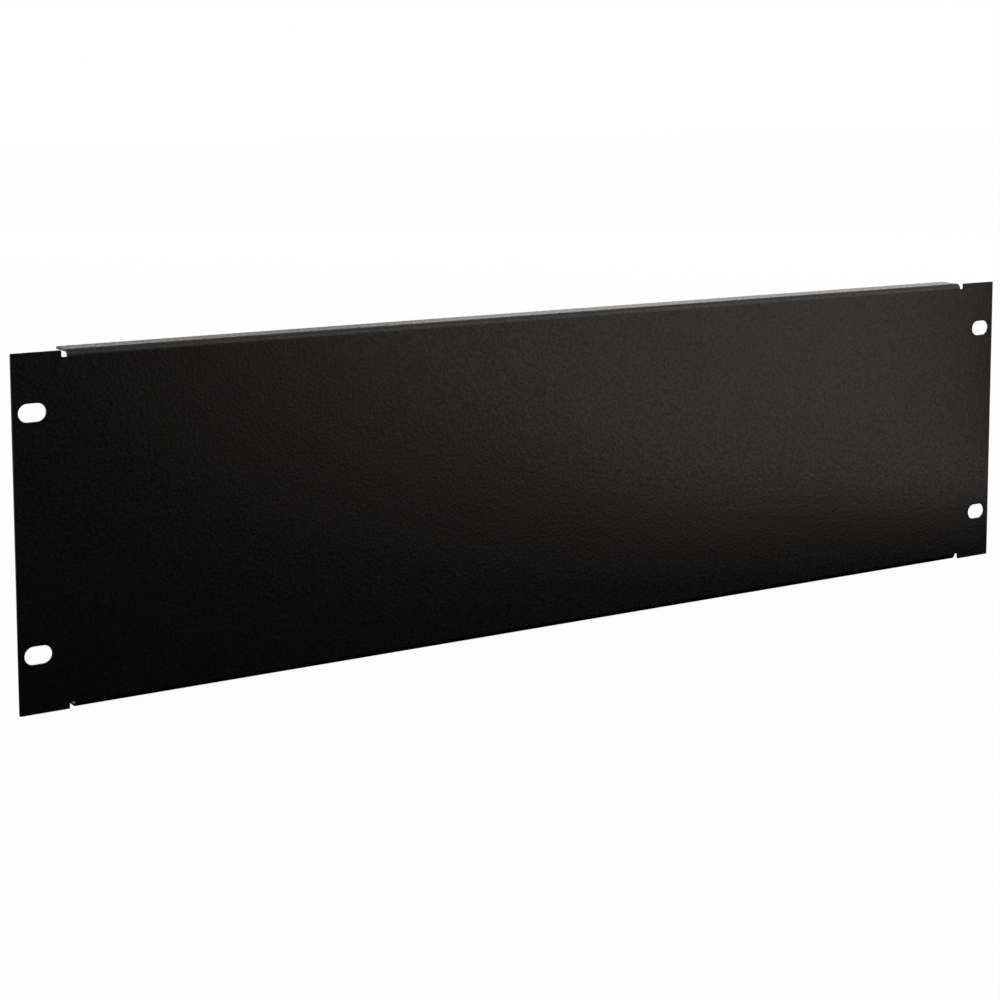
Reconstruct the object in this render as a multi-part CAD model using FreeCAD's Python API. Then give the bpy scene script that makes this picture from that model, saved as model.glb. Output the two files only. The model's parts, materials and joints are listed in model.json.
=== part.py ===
"""A blanking panel that closes three unused units of a 19 inch equipment rack.

The panel is cut and folded from one sheet of steel. Its flat front has an ear at each end with two
mounting slots. Between the ears the top and bottom edges are folded back into stiffening flanges,
and a small relief notch parts each end of a flange from the ear beside it.

Frame, in millimetres: X runs across the rack, Y into it and Z up. The origin is the centre of the
four slots, on the rear face of the ears, which is the face that seats on the rack's rails.
"""

import FreeCAD, Part
import math
import os

# The sheet and the panel's outline
SHEET_THICKNESS = 1.0
PANEL_WIDTH = 482.6
PANEL_HEIGHT = 132.5

# The ears and the notches that part them from the flanges
EAR_WIDTH = 19.0
EAR_CORNER_RADIUS = 0.5
RELIEF_WIDTH = 2.2
RELIEF_CORNER_RADIUS = 0.5

# The folds
BEND_INNER_RADIUS = 1.5
FLANGE_DEPTH = 12.5
FLANGE_CORNER_RADIUS = 1.0

# The mounting slots
SLOT_LENGTH = 10.5
SLOT_WIDTH = 6.8
SLOT_INSET = 7.6
SLOT_SPACING_UP = 88.9

# Places worked out from the sizes above
BEND_OUTER_RADIUS = BEND_INNER_RADIUS + SHEET_THICKNESS
END_X = PANEL_WIDTH / 2
EDGE_Z = PANEL_HEIGHT / 2
FOLD_END_X = END_X - EAR_WIDTH - RELIEF_WIDTH
BEND_LINE_Z = EDGE_Z - BEND_OUTER_RADIUS
FRONT_Y = -SHEET_THICKNESS
REAR_Y = 0.0
FLANGE_TIP_Y = FRONT_Y + FLANGE_DEPTH
BEND_CENTRE_Y = FRONT_Y + BEND_OUTER_RADIUS
SLOT_X = END_X - SLOT_INSET
SLOT_Z = SLOT_SPACING_UP / 2

NEAR = 1e-6


def at(x, y, z):
    return FreeCAD.Vector(x, y, z)


def line(start, end):
    return Part.LineSegment(start, end).toShape()


def edges_at(solid, axis, places):
    """The edges that run along the axis and pass through one of the (x, y, z) places. None matches any value."""

    def matches(edge, place):
        ends = [vertex.Point for vertex in edge.Vertexes]
        if len(ends) != 2 or abs((ends[1] - ends[0]).normalize().dot(axis)) < 1 - NEAR:
            return False
        return all(
            wanted is None or all(abs(end[i] - wanted) < NEAR for end in ends)
            for i, wanted in enumerate(place)
        )

    return [edge for edge in solid.Edges if any(matches(edge, place) for place in places)]


def ear():
    """The left ear with the narrower neck that joins it to the folded middle."""
    ear_side_x = -END_X + EAR_WIDTH
    neck_end_x = -FOLD_END_X
    outline = [
        at(-END_X, REAR_Y, -EDGE_Z),
        at(ear_side_x, REAR_Y, -EDGE_Z),
        at(ear_side_x, REAR_Y, -BEND_LINE_Z),
        at(neck_end_x, REAR_Y, -BEND_LINE_Z),
        at(neck_end_x, REAR_Y, BEND_LINE_Z),
        at(ear_side_x, REAR_Y, BEND_LINE_Z),
        at(ear_side_x, REAR_Y, EDGE_Z),
        at(-END_X, REAR_Y, EDGE_Z),
    ]
    plate = Part.Face(Part.makePolygon(outline + outline[:1])).extrude(at(0, -SHEET_THICKNESS, 0))
    through = at(0, 1, 0)
    outer_corners = [(x, None, z) for x in (-END_X, ear_side_x) for z in (-EDGE_Z, EDGE_Z)]
    plate = plate.makeFillet(EAR_CORNER_RADIUS, edges_at(plate, through, outer_corners))
    notch_corners = [(ear_side_x, None, z) for z in (-BEND_LINE_Z, BEND_LINE_Z)]
    return plate.makeFillet(RELIEF_CORNER_RADIUS, edges_at(plate, through, notch_corners))


def fold_section():
    """The channel that the sheet makes once its two long edges are folded back, as a face across X."""
    x = -FOLD_END_X
    inner_z = EDGE_Z - SHEET_THICKNESS

    def bend(side, radius, start_angle, end_angle):
        """An arc of the top (side 1) or bottom (side -1) bend, by angles from the front towards that edge."""

        def point(angle):
            back = BEND_CENTRE_Y - radius * math.cos(angle)
            return at(x, back, side * (BEND_LINE_Z + radius * math.sin(angle)))

        middle = (start_angle + end_angle) / 2
        return Part.Arc(point(start_angle), point(middle), point(end_angle)).toShape()

    front, folded = 0.0, math.pi / 2
    boundary = [
        line(at(x, FRONT_Y, -BEND_LINE_Z), at(x, FRONT_Y, BEND_LINE_Z)),
        bend(1, BEND_OUTER_RADIUS, front, folded),
        line(at(x, BEND_CENTRE_Y, EDGE_Z), at(x, FLANGE_TIP_Y, EDGE_Z)),
        line(at(x, FLANGE_TIP_Y, EDGE_Z), at(x, FLANGE_TIP_Y, inner_z)),
        line(at(x, FLANGE_TIP_Y, inner_z), at(x, BEND_CENTRE_Y, inner_z)),
        bend(1, BEND_INNER_RADIUS, folded, front),
        line(at(x, REAR_Y, BEND_LINE_Z), at(x, REAR_Y, -BEND_LINE_Z)),
        bend(-1, BEND_INNER_RADIUS, front, folded),
        line(at(x, BEND_CENTRE_Y, -inner_z), at(x, FLANGE_TIP_Y, -inner_z)),
        line(at(x, FLANGE_TIP_Y, -inner_z), at(x, FLANGE_TIP_Y, -EDGE_Z)),
        line(at(x, FLANGE_TIP_Y, -EDGE_Z), at(x, BEND_CENTRE_Y, -EDGE_Z)),
        bend(-1, BEND_OUTER_RADIUS, folded, front),
    ]
    return Part.Face(Part.Wire(boundary))


def folded_middle():
    """The face between the ears, with its two flanges, whose free corners are rounded."""
    channel = fold_section().extrude(at(2 * FOLD_END_X, 0, 0))
    free_corners = [(x, FLANGE_TIP_Y, None) for x in (-FOLD_END_X, FOLD_END_X)]
    return channel.makeFillet(FLANGE_CORNER_RADIUS, edges_at(channel, at(0, 0, 1), free_corners))


def slot_punch(x, z):
    """A solid with round ends that cuts one mounting slot through an ear."""
    radius = SLOT_WIDTH / 2
    half_straight = SLOT_LENGTH / 2 - radius
    y = FRONT_Y - SHEET_THICKNESS
    left, right = x - half_straight, x + half_straight
    outline = [
        line(at(left, y, z + radius), at(right, y, z + radius)),
        Part.Arc(at(right, y, z + radius), at(right + radius, y, z), at(right, y, z - radius)).toShape(),
        line(at(right, y, z - radius), at(left, y, z - radius)),
        Part.Arc(at(left, y, z - radius), at(left - radius, y, z), at(left, y, z + radius)).toShape(),
    ]
    return Part.Face(Part.Wire(outline)).extrude(at(0, 3 * SHEET_THICKNESS, 0))


def blanking_panel():
    """The whole panel as one solid: both ears fused to the folded middle, then punched."""
    left_ear = ear()
    right_ear = left_ear.mirror(at(0, 0, 0), at(1, 0, 0))
    panel = folded_middle().fuse([left_ear, right_ear]).removeSplitter()
    punches = [slot_punch(x, z) for x in (-SLOT_X, SLOT_X) for z in (-SLOT_Z, SLOT_Z)]
    return panel.cut(punches).Solids[0]


def main():
    os.makedirs("parts", exist_ok=True)
    blanking_panel().exportStep("parts/blanking_panel.step")


main()
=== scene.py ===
"""A blanking panel for three units of a 19 inch equipment rack, in satin black powder coat.

The panel is modelled as it is made: a flat sheet whose two long edges are folded back, with an ear
at each end, relief notches beside the folds and four punched slots. It stands on a pale floor.
"""

import json
import math

import bmesh
import bpy
from bpy.props import FloatProperty, FloatVectorProperty, PointerProperty
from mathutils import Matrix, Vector


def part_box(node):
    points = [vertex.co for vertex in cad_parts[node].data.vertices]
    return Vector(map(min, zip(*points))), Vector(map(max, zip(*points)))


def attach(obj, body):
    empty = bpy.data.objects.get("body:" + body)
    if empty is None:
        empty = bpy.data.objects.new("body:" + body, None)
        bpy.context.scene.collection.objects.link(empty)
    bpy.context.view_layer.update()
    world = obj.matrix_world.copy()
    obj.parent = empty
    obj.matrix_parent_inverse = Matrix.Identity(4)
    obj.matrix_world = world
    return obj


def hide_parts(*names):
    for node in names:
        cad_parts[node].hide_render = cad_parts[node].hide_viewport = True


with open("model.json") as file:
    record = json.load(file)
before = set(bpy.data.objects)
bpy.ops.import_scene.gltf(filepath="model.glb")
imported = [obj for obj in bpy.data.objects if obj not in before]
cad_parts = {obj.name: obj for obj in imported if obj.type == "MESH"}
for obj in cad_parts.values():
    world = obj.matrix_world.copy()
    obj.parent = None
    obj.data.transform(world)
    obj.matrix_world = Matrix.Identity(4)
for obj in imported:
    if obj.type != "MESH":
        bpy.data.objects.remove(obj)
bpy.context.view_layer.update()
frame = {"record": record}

bl_info = {
    "name": "Rack blanking panel",
    "version": (1, 0, 0),
    "blender": (4, 5, 0),
    "location": "3D View > Sidebar > Blanking panel",
    "description": "Models a folded sheet blanking panel and the stage that it stands on",
    "category": "Add Mesh",
}

# What the frame says, in metres
NODE = "blanking_panel"
COAT_SLOT = "black_powder_coat"
LOW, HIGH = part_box(NODE)
SLOT_PATTERN = next(m for m in frame["record"]["mounts"] if m["name"] == "rack_slots")
MM = 0.001
SLOT_SPACING_X = SLOT_PATTERN["dims"]["spacing_x_mm"] * MM
SLOT_SPACING_Z = SLOT_PATTERN["dims"]["spacing_y_mm"] * MM
SLOT_RADIUS = SLOT_PATTERN["dims"]["hole_r_mm"] * MM
SLOT_LENGTH = SLOT_PATTERN["dims"]["slot_length_mm"] * MM
NEAR = 1e-5

PANEL_NAME = "coated_panel"

# How finely the curves are divided
BEND_STEPS = 14
CORNER_STEPS = 5
EDGE_STEPS = 3
SLOT_STEPS = 64
PUNCH_REACH = 6  # in thicknesses of the sheet
FLAT_ANGLE = math.radians(0.3)
EDGE_ANGLE = math.radians(40)

# The powder coat
COAT_IOR = 1.46
ROUGHNESS_SPREAD = 0.07
DARK_GRAIN, PALE_GRAIN = 0.6, 1.4  # shares of the coat's colour
GRAIN_SHARE, FLOW_SHARE = 0.75, 0.25  # of the height
FLOW_SCALE = 0.28  # waves of the flow for each grain
GRAIN_ROUGHNESS, FLOW_ROUGHNESS = 0.45, 0.5
NOISE_DETAIL = 1.0
SPECKLE_LOW, SPECKLE_HIGH = 0.3, 0.7

# The camera, in metres, millimetres and degrees
CAMERA_PLACE = (-0.4785, -0.7097, 0.16345)
CAMERA_TURN = (90 - 6.14, 0.099, -31.97)
CAMERA_SENSOR = 36.0
CAMERA_LENS = 74.37
CAMERA_SHIFT = -0.2

# Each lamp's place, size in metres and power in watts. They are aimed at the panel's centre.
LAMPS = {
    "key": ((0.8, -0.8, 0.80), (1.0, 1.2), 3.2),
    "back": ((1.4, 1.7, 0.30), (2.8, 0.7), 4.8),
}

# What the coat mirrors: the floor, the sky at the horizon, and the sky overhead
FLOOR_GLOW = (0.90, 0.79, 0.725)
FLOOR_GLOW_SHARE = 0.95
HORIZON_GLOW = (0.83, 0.80, 0.765)
OVERHEAD_GLOW = (0.55, 0.50, 0.46)
DIMMING_START = math.sin(math.radians(20.0))
DIMMING_END = math.sin(math.radians(34.0))
FLOOR_SIZE = 12.0
FLOOR_ROUGHNESS = 0.9

# Black cards on the floor, from their (x, y) corners: front left and right, back left and right
FLAG_Z = LOW.z + 0.00005
FLAG_LEFT, FLAG_FRONT, FLAG_BACK = -0.9, -2.1, 0.15
FOOT_LEFT, FOOT_RIGHT = 0.17, 0.27
LYING_FLAGS = {
    "flag_left": (
        (FLAG_LEFT, FLAG_FRONT),
        (FOOT_LEFT, FLAG_FRONT),
        (-0.36, FLAG_BACK),
        (FOOT_LEFT, FLAG_BACK),
    ),
    "flag_foot": (
        (FOOT_LEFT, -0.145),
        (FOOT_RIGHT, -0.145),
        (FOOT_LEFT, FLAG_BACK),
        (FOOT_RIGHT, FLAG_BACK),
    ),
    "flag_end": (
        (FOOT_RIGHT, -0.095),
        (2.9, -0.095),
        (FOOT_RIGHT, FLAG_BACK),
        (2.9, FLAG_BACK),
    ),
}

# Upright black cards: from one (x, y) place, to another, the height, and the foot's height
STANDING_FLAGS = {
    "flag_side": ((FLAG_LEFT, FLAG_FRONT), (1.04, FLAG_FRONT), 1.5, FLAG_Z),
    "flag_near": ((-0.42, -0.5), (0.06, -0.5), 0.26, FLAG_Z),
    "flag_right": ((0.36, -0.12), (0.36, 0.05), 0.13, -0.045),
    "flag_back": ((-1.5, 1.5), (0.80, 1.5), 1.3, 0.42),
}


def length(name, description, default):
    """A property for a length."""
    return FloatProperty(
        name=name, description=description, default=default, min=0.0, unit="LENGTH", precision=5
    )


def share(name, description, default):
    """A property from 0 to 1."""
    return FloatProperty(
        name=name, description=description, default=default, min=0.0, max=1.0, subtype="FACTOR"
    )


def level(name, description, default):
    """A property for the level of a light."""
    return FloatProperty(
        name=name, description=description, default=default, min=0.0, soft_max=3.0, subtype="FACTOR"
    )


def paint(name, description, default):
    """A property for a colour."""
    return FloatVectorProperty(
        name=name,
        description=description,
        default=default,
        min=0.0,
        max=1.0,
        subtype="COLOR",
        size=3,
    )


class BLANKING_PG_sheet(bpy.types.PropertyGroup):
    """Sizes of the folded sheet that the frame's box doesn't give."""

    thickness: length("Sheet thickness", "Thickness of the coated sheet", 1.0 * MM)
    ear_width: length("Ear width", "Width of the flat ear at each end", 19.0 * MM)
    ear_corner: length("Ear corner radius", "Radius of the ears' outer corners", 0.5 * MM)
    relief_width: length("Relief width", "Width of the notch beside each fold", 2.2 * MM)
    relief_corner: length("Relief corner radius", "Radius at the foot of the notch", 0.5 * MM)
    bend_radius: length("Bend radius", "Outer radius of the two long folds", 2.5 * MM)
    flange_corner: length("Flange corner radius", "Radius of the flanges' free corners", 1.0 * MM)
    edge_rounding: length("Edge rounding", "Radius that the coat gives to a cut edge", 0.18 * MM)


class BLANKING_PG_coat(bpy.types.PropertyGroup):
    """The powder coat."""

    colour: paint("Coat colour", "Colour of the powder coat", (0.0010, 0.0007, 0.0006))
    roughness: share("Coat roughness", "Mean roughness of the satin coat", 0.36)
    gloss: share("Grain gloss", "Extra gloss on the tops of the grains", 0.13)
    grain_size: length("Grain size", "Width of one grain of the coat", 1.3 * MM)
    grain_height: length("Grain height", "Height of the grain", 0.1 * MM)


class BLANKING_PG_stage(bpy.types.PropertyGroup):
    """The floor and its light."""

    floor_colour: paint("Floor colour", "Colour of the floor under the panel", (0.9, 0.9, 0.9))
    ambient: level("Ambient level", "Level of the soft light from all round", 0.9)
    lamp_level: level("Lamp level", "Scales every lamp", 1.0)


# ------------------------------------------------------------------------------------------------
# Modelling by hand
# ------------------------------------------------------------------------------------------------


def to_object_mode():
    if bpy.context.object and bpy.context.object.mode != "OBJECT":
        bpy.ops.object.mode_set(mode="OBJECT")


def deselect_all():
    to_object_mode()
    bpy.ops.object.select_all(action="DESELECT")


def take_up(piece):
    """Makes the piece the only selected object and the active one."""
    deselect_all()
    piece.select_set(True)
    bpy.context.view_layer.objects.active = piece


def select_edges(piece, passes):
    """Selects the edges whose both ends pass, in edit mode."""
    bpy.ops.mesh.select_mode(type="EDGE")
    bpy.ops.mesh.select_all(action="DESELECT")
    mesh = bmesh.from_edit_mesh(piece.data)
    found = [edge for edge in mesh.edges if all(passes(end.co) for end in edge.verts)]
    if not found:
        raise RuntimeError(f"{piece.name}: no edge is where one was expected")
    for edge in found:
        edge.select_set(True)
    bmesh.update_edit_mesh(piece.data)


def select_corner(piece, place):
    """Selects the one vertex at the place, in edit mode."""
    bpy.ops.mesh.select_mode(type="VERT")
    bpy.ops.mesh.select_all(action="DESELECT")
    mesh = bmesh.from_edit_mesh(piece.data)
    nearest = min(mesh.verts, key=lambda vertex: (vertex.co - Vector(place)).length)
    if (nearest.co - Vector(place)).length > NEAR:
        raise RuntimeError(f"{piece.name}: no corner is at {tuple(place)}")
    nearest.select_set(True)
    bmesh.update_edit_mesh(piece.data)


def pull(step):
    """Extrudes what is selected by the step."""
    bpy.ops.mesh.extrude_region_move(TRANSFORM_OT_translate={"value": step})


def round_corner(piece, place, radius):
    """Rounds an outline corner of the open sheet."""
    select_corner(piece, place)
    bpy.ops.mesh.bevel(
        offset_type="OFFSET", offset=radius, segments=CORNER_STEPS, profile=0.5, affect="VERTICES"
    )


def finish_with(piece, kind, **settings):
    """Adds a modifier with its settings and applies it."""
    take_up(piece)
    modifier = piece.modifiers.new(kind.lower(), kind)
    for key, value in settings.items():
        setattr(modifier, key, value)
    bpy.ops.object.modifier_apply(modifier=modifier.name)


def mirror_quarters(piece):
    """Completes a quarter of the panel across its two planes of symmetry."""
    finish_with(
        piece, "MIRROR", use_axis=(True, False, True), use_mirror_merge=True, merge_threshold=NEAR
    )


def fold_quarter(sizes):
    """The upper left quarter of the sheet's outer skin, folded, as an open surface."""
    front = LOW.y
    fold_end = LOW.x + sizes.ear_width + sizes.relief_width
    ear_side = LOW.x + sizes.ear_width
    bend_line = HIGH.z - sizes.bend_radius
    bend_centre = front + sizes.bend_radius

    # The flat of the face, from the centre to the fold line and the fold's end
    deselect_all()
    bpy.ops.mesh.primitive_plane_add(
        size=1.0, location=(fold_end / 2, front, bend_line / 2), rotation=(math.pi / 2, 0, 0)
    )
    piece = bpy.context.object
    piece.name = PANEL_NAME
    piece.data.name = PANEL_NAME
    piece.scale = (-fold_end, bend_line, 1.0)
    bpy.ops.object.transform_apply(location=True, rotation=True, scale=True)

    # The fold and its flange
    bpy.ops.object.mode_set(mode="EDIT")
    select_edges(piece, lambda co: abs(co.z - bend_line) < NEAR)
    bpy.ops.mesh.spin(
        steps=BEND_STEPS, angle=math.pi / 2, center=(0, bend_centre, bend_line), axis=(1, 0, 0)
    )
    pull((0, HIGH.y - bend_centre, 0))

    # The neck, whose top edge curves up into the side of the ear
    def on_face_end(co):
        return abs(co.x - fold_end) < NEAR and co.z < bend_line + NEAR and co.y < front + NEAR

    neck_end = ear_side + sizes.relief_corner
    select_edges(piece, on_face_end)
    pull((neck_end - fold_end, 0, 0))
    height = bend_line
    reach = 0.0
    for step in range(1, CORNER_STEPS + 1):
        turn = math.pi / 2 * step / CORNER_STEPS
        new_height = bend_line + sizes.relief_corner * (1 - math.cos(turn))
        new_reach = sizes.relief_corner * math.sin(turn)
        pull((reach - new_reach, 0, 0))
        bpy.ops.transform.resize(
            value=(1, 1, new_height / height), center_override=(neck_end - new_reach, front, 0)
        )
        height, reach = new_height, new_reach

    # The ear, out to the panel's end and then up to its full height
    def on_ear_top(co):
        return abs(co.z - height) < NEAR and co.x < ear_side + NEAR and co.y < front + NEAR

    pull((LOW.x - ear_side, 0, 0))
    select_edges(piece, on_ear_top)
    pull((0, 0, HIGH.z - height))

    round_corner(piece, (LOW.x, front, HIGH.z), sizes.ear_corner)
    round_corner(piece, (ear_side, front, HIGH.z), sizes.ear_corner)
    round_corner(piece, (fold_end, HIGH.y, HIGH.z), sizes.flange_corner)

    bpy.ops.mesh.select_all(action="SELECT")
    bpy.ops.mesh.remove_doubles(threshold=NEAR / 10)
    bpy.ops.mesh.normals_make_consistent(inside=False)
    to_object_mode()
    return piece


def face_outwards(piece):
    """Turns the open sheet's faces so that the flat front looks out of the rack."""
    widest = max(piece.data.polygons, key=lambda polygon: polygon.area)
    if widest.normal.y > 0:
        take_up(piece)
        bpy.ops.object.mode_set(mode="EDIT")
        bpy.ops.mesh.select_all(action="SELECT")
        bpy.ops.mesh.flip_normals()
        to_object_mode()


def clear_flat_edges(piece):
    """Dissolves the edges that lie within a flat, so that the bevel meets clean faces."""
    take_up(piece)
    bpy.ops.object.mode_set(mode="EDIT")
    bpy.ops.mesh.select_all(action="SELECT")
    bpy.ops.mesh.dissolve_limited(angle_limit=FLAT_ANGLE)
    to_object_mode()


def slot_punch(thickness):
    """The punch for the upper left slot: a cylinder drawn out sideways into a slot with round ends."""
    centre = (-SLOT_SPACING_X / 2, LOW.y + thickness / 2, SLOT_SPACING_Z / 2)
    deselect_all()
    bpy.ops.mesh.primitive_cylinder_add(
        vertices=SLOT_STEPS,
        radius=SLOT_RADIUS,
        depth=PUNCH_REACH * thickness,
        location=centre,
        rotation=(math.pi / 2, 0, 0),
    )
    punch = bpy.context.object
    bpy.ops.object.transform_apply(location=True, rotation=True, scale=True)
    drawn = SLOT_LENGTH / 2 - SLOT_RADIUS
    bpy.ops.object.mode_set(mode="EDIT")
    for side in (-1, 1):
        select_edges(punch, lambda co: side * (co.x - centre[0]) > NEAR)
        bpy.ops.transform.translate(value=(side * drawn, 0, 0))
    to_object_mode()
    return punch


# ------------------------------------------------------------------------------------------------
# The powder coat
# ------------------------------------------------------------------------------------------------


def link(tree, output, target):
    tree.links.new(output, target)


def feed(tree, socket, value):
    """Links the socket to another node's output, or sets it to a plain value."""
    if isinstance(value, bpy.types.NodeSocket):
        link(tree, value, socket)
    else:
        socket.default_value = value


def math_node(tree, operation, first, second):
    node = tree.nodes.new("ShaderNodeMath")
    node.operation = operation
    for socket, value in zip(node.inputs, (first, second)):
        feed(tree, socket, value)
    return node.outputs[0]


def mix_colours(tree, factor, first, second):
    node = tree.nodes.new("ShaderNodeMix")
    node.data_type = "RGBA"
    link(tree, factor, node.inputs["Factor"])
    for name, value in (("A", first), ("B", second)):
        socket = next(s for s in node.inputs if s.name == name and s.type == "RGBA")
        feed(tree, socket, value)
    return next(s for s in node.outputs if s.type == "RGBA")


def new_group(name, inputs, outputs):
    """An empty shader group, and its input and output nodes. Both lists hold (name, type)."""
    tree = bpy.data.node_groups.new(name, "ShaderNodeTree")
    for title, kind in inputs:
        tree.interface.new_socket(name=title, in_out="INPUT", socket_type=kind)
    for title, kind in outputs:
        tree.interface.new_socket(name=title, in_out="OUTPUT", socket_type=kind)
    return tree, tree.nodes.new("NodeGroupInput"), tree.nodes.new("NodeGroupOutput")


def noise(tree, vector, scale, roughness):
    node = tree.nodes.new("ShaderNodeTexNoise")
    link(tree, vector, node.inputs["Vector"])
    link(tree, scale, node.inputs["Scale"])
    node.inputs["Detail"].default_value = NOISE_DETAIL
    node.inputs["Roughness"].default_value = roughness
    return node.outputs["Fac"]


def powder_grain():
    """Fine rounded grains that a powder coat has once it has flowed, as a height from 0 to 1 and
    a speckle from 0 to 1 that follows them."""
    tree, given, made = new_group(
        "powder_grain",
        [("Vector", "NodeSocketVector"), ("Grains per metre", "NodeSocketFloat")],
        [("Height", "NodeSocketFloat"), ("Speckle", "NodeSocketFloat")],
    )
    place = given.outputs["Vector"]
    per_metre = given.outputs["Grains per metre"]
    grains = noise(tree, place, per_metre, GRAIN_ROUGHNESS)
    waves_per_metre = math_node(tree, "MULTIPLY", per_metre, FLOW_SCALE)
    flow = noise(tree, place, waves_per_metre, FLOW_ROUGHNESS)
    height = math_node(
        tree,
        "ADD",
        math_node(tree, "MULTIPLY", grains, GRAIN_SHARE),
        math_node(tree, "MULTIPLY", flow, FLOW_SHARE),
    )
    link(tree, height, made.inputs["Height"])
    ramp = tree.nodes.new("ShaderNodeMapRange")
    ramp.inputs["From Min"].default_value = SPECKLE_LOW
    ramp.inputs["From Max"].default_value = SPECKLE_HIGH
    link(tree, grains, ramp.inputs["Value"])
    link(tree, ramp.outputs["Result"], made.inputs["Speckle"])
    return tree


def powder_coat(coat):
    """Satin black powder coat."""
    material = bpy.data.materials.new(COAT_SLOT)
    material.use_nodes = True
    tree = material.node_tree
    shader = tree.nodes["Principled BSDF"]
    place = tree.nodes.new("ShaderNodeTexCoord").outputs["Object"]
    grain = tree.nodes.new("ShaderNodeGroup")
    grain.node_tree = powder_grain()
    link(tree, place, grain.inputs["Vector"])
    grain.inputs["Grains per metre"].default_value = 1.0 / coat.grain_size

    dark = (*[DARK_GRAIN * c for c in coat.colour], 1.0)
    pale = (*[PALE_GRAIN * c for c in coat.colour], 1.0)
    tinted = mix_colours(tree, grain.outputs["Speckle"], dark, pale)
    link(tree, tinted, shader.inputs["Base Color"])

    satin = tree.nodes.new("ShaderNodeMapRange")
    satin.inputs["To Min"].default_value = coat.roughness + ROUGHNESS_SPREAD
    satin.inputs["To Max"].default_value = coat.roughness - ROUGHNESS_SPREAD
    link(tree, grain.outputs["Speckle"], satin.inputs["Value"])
    link(tree, satin.outputs["Result"], shader.inputs["Roughness"])

    gloss = tree.nodes.new("ShaderNodeMapRange")
    gloss.inputs["To Max"].default_value = coat.gloss
    link(tree, grain.outputs["Speckle"], gloss.inputs["Value"])
    link(tree, gloss.outputs["Result"], shader.inputs["Coat Weight"])
    shader.inputs["Coat Roughness"].default_value = coat.roughness

    bump = tree.nodes.new("ShaderNodeBump")
    bump.inputs["Strength"].default_value = 1.0
    bump.inputs["Distance"].default_value = coat.grain_height
    link(tree, grain.outputs["Height"], bump.inputs["Height"])
    link(tree, bump.outputs["Normal"], shader.inputs["Normal"])
    shader.inputs["IOR"].default_value = COAT_IOR
    return material


class BLANKING_OT_panel(bpy.types.Operator):
    """Fold, punch and coat the blanking panel"""

    bl_idname = "blanking.panel"
    bl_label = "Folded panel"
    bl_options = {"REGISTER", "UNDO"}

    def execute(self, context):
        sizes = context.scene.blanking_sheet
        panel = fold_quarter(sizes)
        mirror_quarters(panel)
        face_outwards(panel)
        finish_with(
            panel,
            "SOLIDIFY",
            thickness=sizes.thickness,
            offset=-1.0,
            use_even_offset=True,
            use_quality_normals=True,
        )
        punch = slot_punch(sizes.thickness)
        mirror_quarters(punch)
        finish_with(panel, "BOOLEAN", operation="DIFFERENCE", solver="EXACT", object=punch)
        bpy.data.objects.remove(punch)
        clear_flat_edges(panel)
        finish_with(
            panel,
            "BEVEL",
            width=sizes.edge_rounding,
            segments=EDGE_STEPS,
            limit_method="ANGLE",
            angle_limit=EDGE_ANGLE,
            use_clamp_overlap=False,
        )
        take_up(panel)
        bpy.ops.object.shade_smooth()
        finish_with(panel, "WEIGHTED_NORMAL", mode="FACE_AREA", weight=50, keep_sharp=False)
        panel.data.materials.clear()
        panel.data.materials.append(powder_coat(context.scene.blanking_coat))
        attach(panel, "root")
        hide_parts(NODE)
        return {"FINISHED"}


# ------------------------------------------------------------------------------------------------
# The stage
# ------------------------------------------------------------------------------------------------


def make_camera():
    data = bpy.data.cameras.new("camera")
    data.sensor_width = CAMERA_SENSOR
    data.lens = CAMERA_LENS
    data.shift_y = CAMERA_SHIFT
    data.dof.use_dof = False
    camera = bpy.data.objects.new("camera", data)
    bpy.context.scene.collection.objects.link(camera)
    camera.location = CAMERA_PLACE
    camera.rotation_euler = [math.radians(turn) for turn in CAMERA_TURN]
    bpy.context.scene.camera = camera


def softbox(name, place, size, power):
    """A rectangular lamp that the camera doesn't see, aimed at the panel's centre."""
    data = bpy.data.lights.new(name, "AREA")
    data.shape = "RECTANGLE"
    data.size, data.size_y = size
    data.energy = power
    lamp = bpy.data.objects.new(name, data)
    lamp.visible_camera = False
    bpy.context.scene.collection.objects.link(lamp)
    lamp.location = place
    lamp.rotation_euler = Vector(place).to_track_quat("Z", "Y").to_euler()


def background_rays(tree):
    """1 for the rays that see the background: straight to the camera, mirrored or through glass."""
    path = tree.nodes.new("ShaderNodeLightPath").outputs
    seen = math_node(tree, "MAXIMUM", path["Is Camera Ray"], path["Is Glossy Ray"])
    return math_node(tree, "MAXIMUM", seen, path["Is Transmission Ray"])


def make_world(stage):
    """White where it is seen straight on. Mirrored in the coat, it is pale near the horizon and
    dimmer overhead, as in a studio with a dark ceiling. For all else it is plain soft light."""
    world = bpy.data.worlds.new("studio")
    bpy.context.scene.world = world
    world.use_nodes = True
    tree = world.node_tree
    background = tree.nodes["Background"]
    path = tree.nodes.new("ShaderNodeLightPath").outputs
    direction = tree.nodes.new("ShaderNodeTexCoord").outputs["Generated"]
    split = tree.nodes.new("ShaderNodeSeparateXYZ")
    link(tree, direction, split.inputs[0])
    ceiling = tree.nodes.new("ShaderNodeMapRange")
    ceiling.interpolation_type = "SMOOTHSTEP"
    ceiling.inputs["From Min"].default_value = DIMMING_START
    ceiling.inputs["From Max"].default_value = DIMMING_END
    link(tree, split.outputs["Z"], ceiling.inputs["Value"])
    rise = ceiling.outputs["Result"]
    mirrored = mix_colours(tree, rise, (*HORIZON_GLOW, 1), (*OVERHEAD_GLOW, 1))
    lit = mix_colours(tree, path["Is Glossy Ray"], (*[stage.ambient] * 3, 1), mirrored)
    seen = math_node(tree, "MAXIMUM", path["Is Camera Ray"], path["Is Transmission Ray"])
    link(tree, mix_colours(tree, seen, lit, (1, 1, 1, 1)), background.inputs["Color"])


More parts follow.
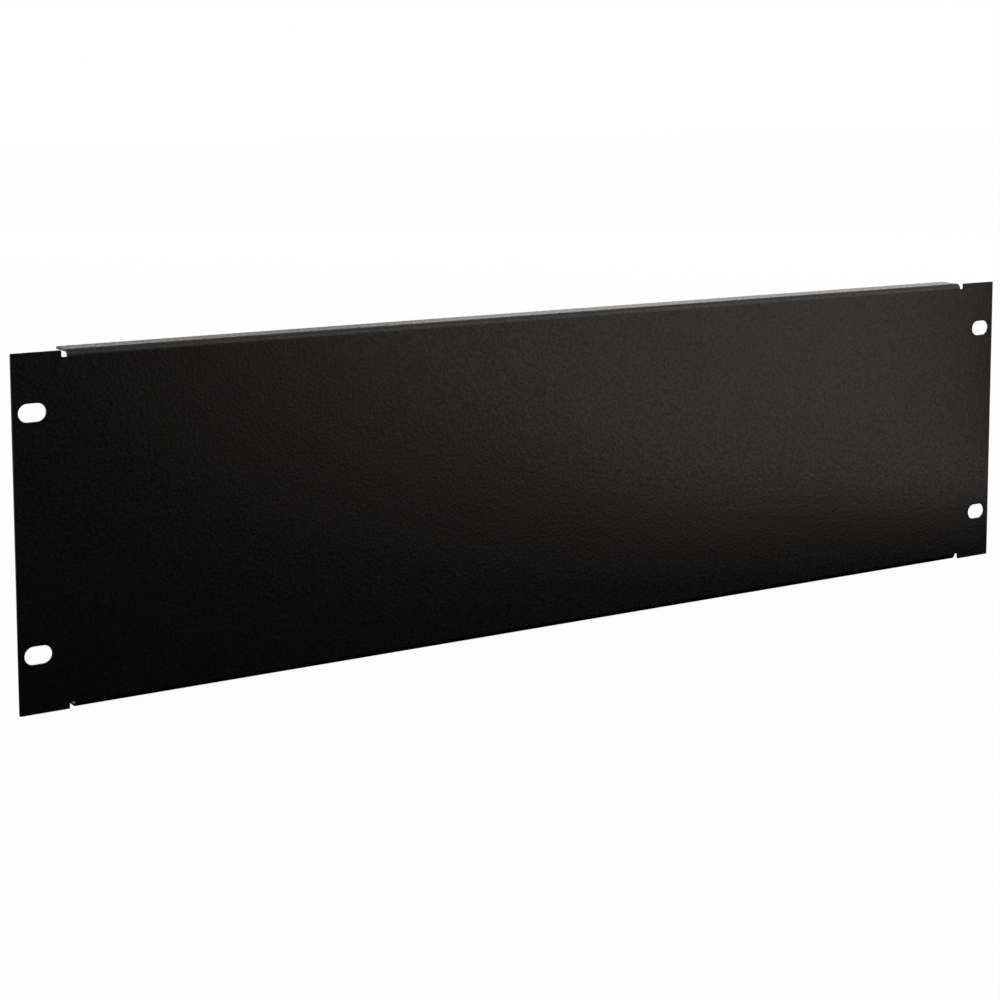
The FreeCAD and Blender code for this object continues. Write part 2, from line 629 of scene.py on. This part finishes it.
def make_floor(colour):
    """A pale floor that is seen as white, keeps the panel's shadow and glows warm in the coat."""
    deselect_all()
    bpy.ops.mesh.primitive_plane_add(size=FLOOR_SIZE, location=(0, 0, LOW.z))
    floor = bpy.context.object
    floor.name = "floor"
    material = bpy.data.materials.new("pale_floor")
    material.use_nodes = True
    tree = material.node_tree
    shader = tree.nodes["Principled BSDF"]
    shader.inputs["Base Color"].default_value = (*colour, 1)
    shader.inputs["Roughness"].default_value = FLOOR_ROUGHNESS
    shader.inputs["Specular IOR Level"].default_value = 0.0
    path = tree.nodes.new("ShaderNodeLightPath").outputs
    glow = tree.nodes.new("ShaderNodeEmission")
    glow_colour = mix_colours(tree, path["Is Glossy Ray"], (1, 1, 1, 1), (*FLOOR_GLOW, 1))
    link(tree, glow_colour, glow.inputs["Color"])
    mix = tree.nodes.new("ShaderNodeMixShader")
    share = math_node(tree, "MULTIPLY", background_rays(tree), FLOOR_GLOW_SHARE)
    link(tree, share, mix.inputs["Fac"])
    link(tree, shader.outputs["BSDF"], mix.inputs[1])
    link(tree, glow.outputs["Emission"], mix.inputs[2])
    link(tree, mix.outputs["Shader"], tree.nodes["Material Output"].inputs["Surface"])
    floor.data.materials.append(material)


def black_card():
    """The material of the black flags."""
    material = bpy.data.materials.new("black_flag")
    material.use_nodes = True
    shader = material.node_tree.nodes["Principled BSDF"]
    shader.inputs["Base Color"].default_value = (0.0, 0.0, 0.0, 1)
    shader.inputs["Specular IOR Level"].default_value = 0.0
    return material


def black_flag(name, corners, material):
    """A black card that only the coat's reflections see. Its corners come in two rows of two."""
    deselect_all()
    bpy.ops.mesh.primitive_plane_add(size=1.0)
    flag = bpy.context.object
    flag.name = name
    for vertex, corner in zip(flag.data.vertices, corners):
        vertex.co = corner
    flag.data.materials.append(material)
    flag.visible_camera = False
    flag.visible_diffuse = False
    flag.visible_transmission = False
    flag.visible_shadow = False


class BLANKING_OT_stage(bpy.types.Operator):
    """Set up the floor, the black cards, the lamps and the camera"""

    bl_idname = "blanking.stage"
    bl_label = "Stage"
    bl_options = {"REGISTER", "UNDO"}

    def execute(self, context):
        stage = context.scene.blanking_stage
        make_camera()
        make_world(stage)
        make_floor(stage.floor_colour)
        card = black_card()
        for name, corners in LYING_FLAGS.items():
            black_flag(name, [(x, y, FLAG_Z) for x, y in corners], card)
        for name, (start, end, height, foot) in STANDING_FLAGS.items():
            rows = (foot, foot + height)
            black_flag(name, [(x, y, z) for z in rows for x, y in (start, end)], card)
        for name, (place, size, power) in LAMPS.items():
            softbox(name, place, size, power * stage.lamp_level)
        return {"FINISHED"}


class BLANKING_PT_sidebar(bpy.types.Panel):
    """Sizes, coat and stage of the blanking panel"""

    bl_idname = "BLANKING_PT_sidebar"
    bl_label = "Blanking panel"
    bl_space_type = "VIEW_3D"
    bl_region_type = "UI"
    bl_category = "Blanking panel"

    def draw(self, context):
        for group, operator in (
            (context.scene.blanking_sheet, None),
            (context.scene.blanking_coat, BLANKING_OT_panel.bl_idname),
            (context.scene.blanking_stage, BLANKING_OT_stage.bl_idname),
        ):
            box = self.layout.box()
            for name in group.bl_rna.properties.keys():
                if name not in ("rna_type", "name"):
                    box.prop(group, name)
            if operator:
                self.layout.operator(operator)


CLASSES = (
    BLANKING_PG_sheet,
    BLANKING_PG_coat,
    BLANKING_PG_stage,
    BLANKING_OT_panel,
    BLANKING_OT_stage,
    BLANKING_PT_sidebar,
)


def register():
    for cls in CLASSES:
        bpy.utils.register_class(cls)
    bpy.types.Scene.blanking_sheet = PointerProperty(type=BLANKING_PG_sheet)
    bpy.types.Scene.blanking_coat = PointerProperty(type=BLANKING_PG_coat)
    bpy.types.Scene.blanking_stage = PointerProperty(type=BLANKING_PG_stage)


def unregister():
    del bpy.types.Scene.blanking_sheet
    del bpy.types.Scene.blanking_coat
    del bpy.types.Scene.blanking_stage
    for cls in reversed(CLASSES):
        bpy.utils.unregister_class(cls)


def main():
    bpy.context.scene.view_settings.view_transform = "Standard"
    register()
    bpy.ops.blanking.panel()
    bpy.ops.blanking.stage()


if __name__ == "__main__":
    main()
